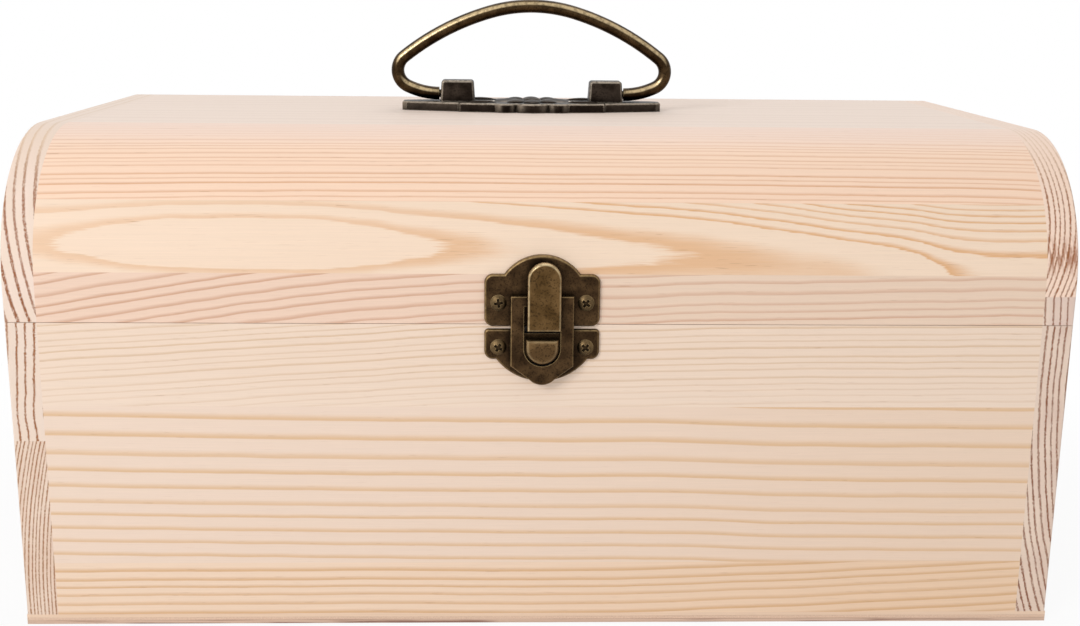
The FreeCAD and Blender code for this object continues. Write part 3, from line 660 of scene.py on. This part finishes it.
# %% [markdown]
# ## The ends
# The end boards run from front to back, so their front edges show end grain: dark, broken ring lines in a
# pinkish ground. The lower left board grew slowly and has close rings. On the right the rings are cut where
# they bend, so the lines curve, and low on the upper lid board the wood is brown with resin.

# %% End boards
LEFT_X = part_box("left_end_lower_board")[0].x / MM
RIGHT_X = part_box("right_end_board")[1].x / MM
HALF_BOARD = (RIGHT_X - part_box("right_end_board")[0].x / MM) / 2
END_GRAIN = dict(uneven=0.25, ragged=0.8, faintest=0.8)
END_BOARDS = {
    "left_end_lower_board": dict(
        x=LEFT_X + HALF_BOARD, z=30.0, heart_angle=7.0, heart_distance=190.0, ring_width=1.05, share=0.54,
        seed=4.2, wander=0.15, ragged=0.4, end_early=(229, 201, 180), end_late=(158, 102, 52)),
    "left_end_upper_board": dict(
        x=LEFT_X + HALF_BOARD, z=75.0, heart_angle=2.5, heart_distance=240.0, ring_width=2.6, share=0.34,
        seed=7.5, wander=1.6, end_early=(238, 217, 201), end_late=(150, 86, 16)),
    "right_end_board": dict(
        x=RIGHT_X - HALF_BOARD, z=75.0, heart_angle=0.0, heart_distance=220.0, ring_width=1.9, share=0.44,
        seed=1.8, wander=0.5, end_early=(225, 199, 182), end_late=(130, 68, 12)),
    "lid_left_end": dict(
        x=LEFT_X + HALF_BOARD, z=112.0, heart_angle=-11.0, heart_distance=320.0, ring_width=2.9, share=0.42,
        seed=3.9, wander=0.7, end_early=(244, 221, 206), end_late=(144, 76, 4)),
    "lid_right_end_upper": dict(
        x=RIGHT_X - HALF_BOARD, z=125.0, heart_angle=180.0, heart_distance=75.0, ring_width=1.5, share=0.46,
        seed=5.1, wander=0.2, early=(248, 220, 200), end_early=(250, 221, 200), end_late=(146, 80, 8),
        soaked=(-22.0, -8.0)),
    "lid_right_end_lower": dict(
        x=RIGHT_X - HALF_BOARD, z=95.0, heart_angle=-3.0, heart_distance=240.0, ring_width=2.2, share=0.34,
        seed=6.2, end_early=(226, 200, 186), end_late=(140, 80, 40)),
}
for end_name, values in END_BOARDS.items():
    middle = (values.pop("x"), 0, values.pop("z"))
    dress(pine_board(end_name, "Y", middle, **(END_GRAIN | values)), end_name)
print("end boards from", LEFT_X, "to", RIGHT_X)

# %% [markdown]
# ## The back
# The back is built like the front from other boards of the same stack, so it gets its own rings: other
# bends, other swellings and other seeds.

# %% Back boards
BACK_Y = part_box("back_middle_board")[1].y / MM


def lid_back_spot(angle):
    """The point of the rounded lid at the back that mirrors the front one."""
    x, y, z = lid_spot(angle)
    return x, -y, z


back_lower_pine = pine_board(
    "back_lower", "X", (0, BACK_Y, 10.0), heart_angle=80.0, ring_width=3.1, seed=12.4,
    bend=((-150, 1.8), (-20, 0), (150, -2.6)), wander=0.5, share=0.45, late=(216, 178, 140),
)
back_middle_pine = pine_board(
    "back_middle", "X", (0, BACK_Y, 42.0), heart_angle=25.0, heart_distance=46.0, ring_width=2.6, seed=15.3,
    swell=((-150, -1.0), (-60, -3.0), (20, 0.0), (95, -0.6), (150, 1.4)), wander=0.3, wander_length=90.0,
    share=0.42,
)
back_upper_pine = pine_board(
    "back_upper", "X", (0, BACK_Y, SEAM_Z), heart_angle=-75.0, ring_width=2.3, seed=18.8,
    bend=((-150, 2.0), (-40, -0.8), (60, 1.2), (150, 5.0)), wander=0.4, late=(216, 180, 150),
)
back_stave_pine = pine_board(
    "lid_back_stave", "X", lid_back_spot(20), heart_angle=20.0, heart_distance=500.0, ring_width=0.9,
    swell=((-150, -1.6), (-75, 0.1), (0, -0.7), (70, 0.7), (150, -1.2)), wander=0.06, wander_length=60.0,
    seed=21.7, share=0.34, uneven=0.0, early=(244, 219, 195), late=(226, 175, 128),
)
back_shoulder_pine = pine_board(
    "lid_back_shoulder", "X", lid_back_spot(SHOULDER_MIDDLE), heart_angle=SHOULDER_MIDDLE - 90, seed=24.1,
    heart_distance=220.0, ring_width=2.4, wander=0.25, wander_length=120.0, fade=(ACROSS, -3.0, 3.0, 0.3),
    early=(246, 211, 184), pale=(240, 213, 197), late=(221, 171, 136),
)
dress(back_lower_pine, "back_lower_board")
dress(back_middle_pine, "back_middle_board")
dress(back_upper_pine, "back_upper_board", "lid_back_rail")
dress(back_stave_pine, "lid_back_stave")
dress(back_shoulder_pine, "lid_back_shoulder")
print("boards dressed:", len([m for m in bpy.data.materials if m.name.startswith("pine_")]))

# %% [markdown]
# ## Plywood base
# The base is three thin layers with crossed grain and dark glue between them. The layers are told apart by
# height, so the edge shows two broken dark lines. Towards the ground the edge is darker and streaked.

# %% Plywood
PLY_HEIGHT = (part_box("base_panel")[1].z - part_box("base_panel")[0].z) / MM
PLY_LAYERS = 3
PLY_LOWER, PLY_STREAK, PLY_GLUE = srgb(211, 180, 159), srgb(140, 100, 84), srgb(128, 80, 64)
PLY_SHADES = (0.93, 1.05)
PLY_ROUGHNESS = (0.66, 0.58)


def ply_layers(tree, point, layer, cloud):
    """Colour of the layers, counted from below: the middle one is cut across the grain and shows pores."""
    off = from_middle(tree, layer, 0, PLY_LAYERS)
    pores = stretched_noise(tree, point, (0.5, 0.5, 0.25), 33.0, 2.0)
    core = mix_colour(tree, remap(tree, pores, 0.35, 0.65), srgb(232, 202, 177), srgb(220, 187, 162))
    face = mix_colour(tree, cloud, srgb(241, 213, 188), srgb(233, 202, 175))
    return mix_colour(tree, remap(tree, off, 0.45, 0.52, 1.0, 0.0), face, core)


def ply_edge(tree, point, layer, colour):
    """Colour darker and streaked towards the ground, with a broken dark line of glue at each joint."""
    # The edge is darker towards the ground.
    lower_share = remap(tree, layer, 0.3, 1.5, 1.0, 0.0)
    colour = mix_colour(tree, lower_share, colour, PLY_LOWER)
    streaks = remap(tree, stretched_noise(tree, point, (30, 30, 0.9), 35.0, 2.0), 0.47, 0.6, 0.0, 0.9)
    colour = mix_colour(tree, calc(tree, "MULTIPLY", streaks, lower_share), colour, PLY_STREAK)
    at_joint = remap(tree, calc(tree, "PINGPONG", layer, 0.5), 0.02, 0.10, 1.0, 0.0)
    off_faces = calc(tree, "COMPARE", layer, PLY_LAYERS / 2, 1.2)
    patchy = remap(tree, stretched_noise(tree, point, (60, 60, 60), 37.0), 0.42, 0.58, 0.2, 0.9)
    glue = remap(tree, layer, 1.2, 1.8, 0.9, 0.3)
    for share in (at_joint, off_faces, patchy):
        glue = calc(tree, "MULTIPLY", glue, share)
    return mix_colour(tree, glue, colour, PLY_GLUE)


def make_plywood():
    """Three layers told apart by height, their glued edge and the fibres of the outer sheets."""
    material, tree, shader = new_material("plywood")
    point = millimetres(tree, add_node(tree, "TexCoord").outputs["Object"])
    layer = calc(tree, "DIVIDE", coordinate(tree, point, "Z"), PLY_HEIGHT / PLY_LAYERS)
    marks = place_group(tree, FIBRES, {"Point": point, "Seed": 31.0})
    colour = ply_edge(tree, point, layer, ply_layers(tree, point, layer, marks["Cloud"]))
    colour = fibre_shade(tree, colour, marks["Fibre"], *PLY_SHADES)
    tree.links.new(colour, shader.inputs["Base Color"])
    rough = remap(tree, marks["Cloud"], 0, 1, *PLY_ROUGHNESS, smooth=False)
    tree.links.new(rough, shader.inputs["Roughness"])
    add_relief(tree, shader, marks["Fibre"], strength=0.3, depth=0.2)
    return material


dress(make_plywood(), "base_panel")
print("plywood layers of", PLY_HEIGHT / PLY_LAYERS, "mm")

# %% [markdown]
# ## Antique bronze
# The fittings are plated steel and castings that were darkened and then rubbed, so hollows stay nearly black
# and edges shine. The black in hollows and corners is partly that patina and partly painted shade, and the
# bright rims are partly wear and partly a painted highlight on the side towards the lamp. Three masks tell
# where that is. The difference between the true normal and one that is rounded over a small radius is high on
# edges. The angle between the surface and a direction tells a rolled rim from a flat face, or the front of a
# rod from its underside. Ambient occlusion is low in corners. All are measured on the shape itself, so one
# group serves every fitting.

# %% Wear and painted light group
EDGE_RADIUS = 0.0006
CORNER_REACH = 0.0045
LUMP, MOTTLE, SPECK = (1.1,) * 3, (4.0,) * 3, (0.45,) * 3
PATINA_AND_SHADE_BLACK = srgb(16, 11, 8)
# Side of the upper-left lamp: rims that face it get a painted highlight.
LAMP_SIDE = Vector((-0.6, -0.35, 0.7)).normalized()


def wear_and_light_group():
    """Masks of worn edges, rims with painted highlights, corners with patina and painted shade, mottled patina
    and specks, and the height in mm.

    The rim grows as the cosine between the normal and Face goes from From to To, and it is gone below Gone. It
    is part wear and part painted highlight, painted brightest on the side that faces the lamp at the upper
    left. The back of a fitting is treated like its front, and for the rim its right is treated like its left.
    """
    sockets = {"Face": "Vector"} | {label: "Float" for label in ("From", "To", "Gone", "Wear", "Seed")}
    masks = {label: "Float" for label in ("Edge", "Rim", "Corner", "Mottle", "Speck", "Height")}
    tree, given, result = open_group("wear and painted light", sockets, masks)
    seat = add_node(tree, "TexCoord").outputs
    point = millimetres(tree, seat["Object"])
    sideways, back, up = add_node(tree, "SeparateXYZ", {0: seat["Normal"]}).outputs
    front = calc(tree, "MULTIPLY", calc(tree, "ABSOLUTE", back), -1.0)
    left = calc(tree, "MULTIPLY", calc(tree, "ABSOLUTE", sideways), -1.0)
    normal = add_node(tree, "CombineXYZ", {0: sideways, 1: front, 2: up}).outputs[0]
    mirrored = add_node(tree, "CombineXYZ", {0: left, 1: front, 2: up}).outputs[0]
    rounded = add_node(tree, "Bevel", {"Radius": EDGE_RADIUS}, samples=6).outputs[0]
    agree = cosine(tree, rounded, add_node(tree, "NewGeometry").outputs["Normal"])
    open_sky = add_node(tree, "AmbientOcclusion", {"Distance": CORNER_REACH}, samples=6).outputs["AO"]
    lumps = stretched_noise(tree, point, LUMP, given["Seed"], 3.0)
    patches = remap(tree, lumps, 0.3, 0.6, 0.5, 1.0)
    # Painted highlight: rims are brighter the more they face the lamp side.
    facing_lamp = remap(tree, cosine(tree, normal, LAMP_SIDE), -0.3, 0.75, 0.35, 1.0)
    rub_and_light = calc(tree, "MULTIPLY", patches, facing_lamp)
    turned = calc(tree, "MULTIPLY", calc(tree, "SUBTRACT", 1.0, agree), open_sky)
    edge = remap(tree, calc(tree, "MULTIPLY", turned, given["Wear"]), 0.02, 0.22)
    tree.links.new(calc(tree, "MULTIPLY", edge, patches), result["Edge"])
    facing = cosine(tree, mirrored, given["Face"])
    kept = remap(tree, facing, given["Gone"], calc(tree, "ADD", given["Gone"], 0.3))
    rim = calc(tree, "MULTIPLY", remap(tree, facing, given["From"], given["To"]), kept)
    tree.links.new(calc(tree, "MULTIPLY", rim, rub_and_light), result["Rim"])
    # Corners with little open sky get painted shade together with their patina.
    tree.links.new(remap(tree, open_sky, 0.45, 0.97, 1.0, 0.0), result["Corner"])
    tree.links.new(stretched_noise(tree, point, MOTTLE, given["Seed"], 3.0), result["Mottle"])
    speck = stretched_noise(tree, point, SPECK, given["Seed"])
    tree.links.new(remap(tree, speck, 0.50, 0.68), result["Speck"])
    tree.links.new(coordinate(tree, point, "Z"), result["Height"])
    return tree


WEAR_AND_LIGHT = wear_and_light_group()
print("wear and painted light nodes:", len(WEAR_AND_LIGHT.nodes))

# %% Bronze fittings
FRONT, UP = (0, -1, 0), (0, 0, 1)
# The bright band along the bail is a painted highlight on the side of the rod that faces BAIL_FRONT.
BAIL_FRONT = Vector((-0.2, -0.87, 0.45)).normalized()
# Rolled rims and turned facets of the cast plate get painted highlights, and FACING narrows the band on the
# bail.
ROLLED, FACING, FACETS = (0.995, 0.80), (0.92, 0.995), (0.99, 0.85)
EVERYWHERE = -2.0
SPECK_SHARE, SHADE_AND_PATINA_SHARE = 0.5, 0.85


def bronze(name, dark, warm, bright, face=FRONT, rim=0.5, turn=ROLLED, gone=EVERYWHERE, band=(), wear=1.0,
           rough=(0.50, 0.34), seed=1.0):
    """Darkened bronze: mottled from dark to warm, bright on worn edges and with a painted highlight on rims,
    black in corners with patina and painted shade.

    A band of two heights in mm lets the painted highlight on the rims grow from the first height to the second.
    """
    material, tree, shader = new_material("bronze_" + name)
    values = {"Face": face, "From": turn[0], "To": turn[1], "Gone": gone, "Wear": wear, "Seed": seed}
    masks = place_group(tree, WEAR_AND_LIGHT, values)
    colour = mix_colour(tree, remap(tree, masks["Mottle"], 0.32, 0.68), srgb(*dark), srgb(*warm))
    colour = mix_colour(tree, calc(tree, "MULTIPLY", masks["Speck"], SPECK_SHARE), colour, PATINA_AND_SHADE_BLACK)
    # Rims get a painted highlight in the bright colour, and worn edges get the same colour.
    rolled = calc(tree, "MULTIPLY", masks["Rim"], rim)
    if band:
        rolled = calc(tree, "MULTIPLY", rolled, remap(tree, masks["Height"], *band))
    wear_and_highlight = calc(tree, "MAXIMUM", masks["Edge"], rolled)
    colour = mix_colour(tree, wear_and_highlight, colour, srgb(*bright))
    # Corners get painted shade and patina in black.
    colour = mix_colour(tree, calc(tree, "MULTIPLY", masks["Corner"], SHADE_AND_PATINA_SHARE), colour, PATINA_AND_SHADE_BLACK)
    tree.links.new(colour, shader.inputs["Base Color"])
    shader.inputs["Metallic"].default_value = 1.0
    glossier = calc(tree, "MAXIMUM", wear_and_highlight, calc(tree, "MULTIPLY", masks["Mottle"], 0.5))
    tree.links.new(remap(tree, glossier, 0, 1, *rough, smooth=False), shader.inputs["Roughness"])
    add_relief(tree, shader, masks["Mottle"], strength=0.2, depth=0.1)
    return material


plate_bronze = bronze("latch_plate", (54, 39, 25), (86, 65, 43), (176, 148, 104), rim=0.7, seed=1.3)
tongue_bronze = bronze("tongue", (80, 59, 33), (110, 84, 52), (214, 192, 150), rim=0.85, seed=4.6,
                       rough=(0.42, 0.28))
bail_bronze = bronze("bail", (46, 33, 19), (78, 61, 40), (212, 188, 146), BAIL_FRONT, 0.9, FACING, seed=7.1,
                     rough=(0.42, 0.28))
cast_bronze = bronze("cast_plate", (34, 27, 22), (60, 51, 44), (196, 182, 164), FRONT, 0.65, FACETS, 0.2,
                     wear=4.0, seed=9.4)
button_bronze = bronze("button", (88, 66, 42), (118, 92, 60), (196, 170, 128), rim=0.45, seed=8.2,
                       rough=(0.40, 0.26))
hinge_bronze = bronze("hinge", (62, 46, 30), (86, 66, 43), (160, 132, 92), seed=5.9)
dress(plate_bronze, "lid_latch_plate", "body_latch_plate")
dress(tongue_bronze, "hasp_tongue", "hasp_pin")
dress(button_bronze, "thumb_button")
dress(bail_bronze, "handle_bail")
dress(cast_bronze, "handle_plate")
for side in ("left", "right"):
    for piece in ("box_leaf", "lid_leaf", "pin"):
        dress(hinge_bronze, f"hinge_{side}_{piece}")
SCREW_FACES = {"lid_latch": FRONT, "body_latch": FRONT, "handle": UP, "hinge_box": FRONT, "hinge_lid": FRONT}
for held, face in SCREW_FACES.items():
    dress(bronze(held + "_screws", (70, 55, 37), (96, 77, 52), (164, 138, 98), face, 0.3, wear=0.5, seed=2.2),
          held + "_screws")
print("bronze finishes:", len([m for m in bpy.data.materials if m.name.startswith("bronze_")]))

# %% [markdown]
# ## The ornament of the handle plate
# The middle of the cast plate carries a flower: petals around a round boss, and a leaf at each corner beside
# the lugs. A foundry would press it into the sand together with the plate. Here each petal is a closed
# surface of ellipses, slim at both ends, and its lower half is sunk into the plate. The flower stays between
# the lugs, because the folded bail passes just above the rest of the plate.

# %% Handle rosette
AROUND, STEPS = 20, 22
SHARES = (1 - np.cos(np.linspace(0, np.pi, STEPS))) / 2
PLATE_THICKNESS = 3.0
PLATE_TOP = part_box("lid_top_board")[1].z / MM + PLATE_THICKNESS
BOSS_RADIUS, BOSS_RISE, BOSS_SUNK = 3.0, 1.5, 0.8
PETAL_COUNT = 8
PETAL_ROOT, PETAL_TIP = 3.0, 11.3
PETAL_HALF_WIDTH, PETAL_RISE = 2.9, 1.05
LEAF_START, LEAF_END = (11.8, 6.4), (22.5, 7.3)
LEAF_HALF_WIDTH, LEAF_RISE = 1.5, 0.8


def tube_faces(rings, around, first=0):
    """Numbers of the points of rings, the same moved on by one, and the quads between neighbouring rings."""
    ring = first + np.arange(rings * around).reshape(rings, around)
    onward = np.roll(ring, -1, axis=1)
    quads = np.stack([ring[:-1], onward[:-1], onward[1:], ring[1:]], -1).reshape(-1, 4)
    return ring, onward, quads.tolist()


def spindle(middles, sides, ups):
    """Points and faces of ellipses along a row of middles, of which the first and the last are the tips.

    At an angle v an ellipse lies at middle + side * cos(v) + up * sin(v).
    """
    turn = np.linspace(0, 2 * np.pi, AROUND, endpoint=False)[None, :, None]
    rings = middles[1:-1, None] + sides[1:-1, None] * np.cos(turn) + ups[1:-1, None] * np.sin(turn)
    points = np.concatenate([middles[:1], rings.reshape(-1, 3), middles[-1:]])
    ring, onward, quads = tube_faces(len(rings), AROUND, first=1)
    first = np.stack([np.zeros_like(ring[0]), onward[0], ring[0]], -1)
    last = np.stack([np.full_like(ring[0], len(points) - 1), ring[-1], onward[-1]], -1)
    return points, [*first.tolist(), *quads, *last.tolist()]


def leaf(start, end, half_width, rise):
    """Leaf between two points of the plate, with these sizes at a share u of its length.

    Its half width is w * sin(pi * u^1.3)^0.8, and its half height is h * sin(pi * u^1.1)^0.6.
    """
    start, end = np.array((*start, 0.0)), np.array((*end, 0.0))
    along = (end - start) / np.linalg.norm(end - start)
    width = half_width * np.sin(np.pi * SHARES ** 1.3).clip(0) ** 0.8
    height = rise * np.sin(np.pi * SHARES ** 1.1).clip(0) ** 0.6
    middles = start + SHARES[:, None] * (end - start)
    return spindle(middles, np.outer(width, np.cross((0, 0, 1), along)), np.outer(height, (0, 0, 1)))


def boss(radius, rise, sunk):
    """Round boss: at a share u of its height its radius is r * sin(pi * u)^0.6."""
    middles = np.outer(SHARES * (rise + sunk) - sunk, (0, 0, 1))
    wide = radius * np.sin(np.pi * SHARES).clip(0)[:, None] ** 0.6
    return spindle(middles, wide * np.array((1, 0, 0)), wide * np.array((0, 1, 0)))


def rosette_shapes():
    """The boss, the ring of petals and the four leaves, around the middle of the plate."""
    shapes = [boss(BOSS_RADIUS, BOSS_RISE, BOSS_SUNK)]
    for turn in np.arange(PETAL_COUNT) * 2 * np.pi / PETAL_COUNT:
        out = np.array((np.cos(turn), np.sin(turn)))
        shapes.append(leaf(out * PETAL_ROOT, out * PETAL_TIP, PETAL_HALF_WIDTH, PETAL_RISE))
    for flip in ((1, 1), (-1, 1), (-1, -1), (1, -1)):
        start, end = np.array(LEAF_START) * flip, np.array(LEAF_END) * flip
        shapes.append(leaf(start, end, LEAF_HALF_WIDTH, LEAF_RISE))
    return shapes


def join_shapes(name, shapes, place, smooth=True):
    """One mesh object made of closed shapes in mm, set at a place in mm."""
    starts = np.cumsum([0] + [len(own_points) for own_points, _ in shapes])
    points = (np.concatenate([own_points for own_points, _ in shapes]) + np.array(place)) * MM
    faces = []
    for start, (_, own_faces) in zip(starts, shapes):
        faces += [[start + index for index in face] for face in own_faces]
    mesh = bpy.data.meshes.new(name)
    mesh.from_pydata(points.tolist(), [], faces)
    mesh.polygons.foreach_set("use_smooth", np.full(len(mesh.polygons), smooth))
    piece = bpy.data.objects.new(name, mesh)
    bpy.context.scene.collection.objects.link(piece)
    return piece


plate_low, plate_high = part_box("handle_plate")
handle_x = (plate_low.x + plate_high.x) / 2 / MM
rosette = join_shapes("handle_rosette", rosette_shapes(), (handle_x, 0, PLATE_TOP))
rosette.data.materials.append(bronze("rosette", (36, 30, 25), (52, 44, 37), (120, 108, 94), UP, 0.5,
                                     band=(PLATE_TOP + 0.2, PLATE_TOP + 1.0), seed=3.3))
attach(rosette, "lid")
print("rosette faces:", len(rosette.data.polygons))

# %% [markdown]
# ## Leaf spring
# The spring behind the thumb button is a strip of bright rolled steel, bowed away from the front of the box.
# A press on the button flattens it, and a rigid strip would cut into the button. So the strip is made anew
# as a profile carried up a bowed path.

# %% Leaf spring
STRIP_THICKNESS = 0.3
STRIP_STEPS = 33


def bowed_strip(size):
    """Strip of a width, a depth and a height in mm, from its back corner at the lower left.

    At a share u of the height its back stands (depth - thickness) * sin(pi * u)^2 in front of the wall.
    """
    share = np.linspace(0, 1, STRIP_STEPS)
    back = -(size[1] - STRIP_THICKNESS) * np.sin(np.pi * share) ** 2
    front = back - STRIP_THICKNESS
    left, right = np.zeros_like(share), np.full_like(share, size[0])
    corners = [(left, front), (right, front), (right, back), (left, back)]
    points = np.stack([np.stack([x, y, share * size[2]], -1) for x, y in corners], 1)
    ring, _, quads = tube_faces(STRIP_STEPS, len(corners))
    return points.reshape(-1, 3), [ring[0, ::-1].tolist(), *quads, ring[-1].tolist()]


def make_spring_steel():
    """Bright steel with fine rolling lines along its height."""
    material, tree, shader = new_material("spring_steel")
    point = millimetres(tree, add_node(tree, "TexCoord").outputs["Object"])
    lines = stretched_noise(tree, point, (0.12, 0.5, 8.0), 3.0, 2.0)
    colour = mix_colour(tree, lines, srgb(150, 150, 152), srgb(196, 196, 198))
    tree.links.new(colour, shader.inputs["Base Color"])
    shader.inputs["Metallic"].default_value = 1.0
    tree.links.new(remap(tree, lines, 0, 1, 0.42, 0.28, smooth=False), shader.inputs["Roughness"])
    return material


spring_low, spring_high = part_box("button_spring")
spring_size = (spring_high - spring_low) / MM
spring_left = spring_low.x / MM, spring_high.y / MM, spring_low.z / MM
spring = join_shapes("leaf_spring", [bowed_strip(spring_size)], spring_left, smooth=False)
spring.data.materials.append(make_spring_steel())
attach(spring, "box")
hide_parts("button_spring")
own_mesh(spring)
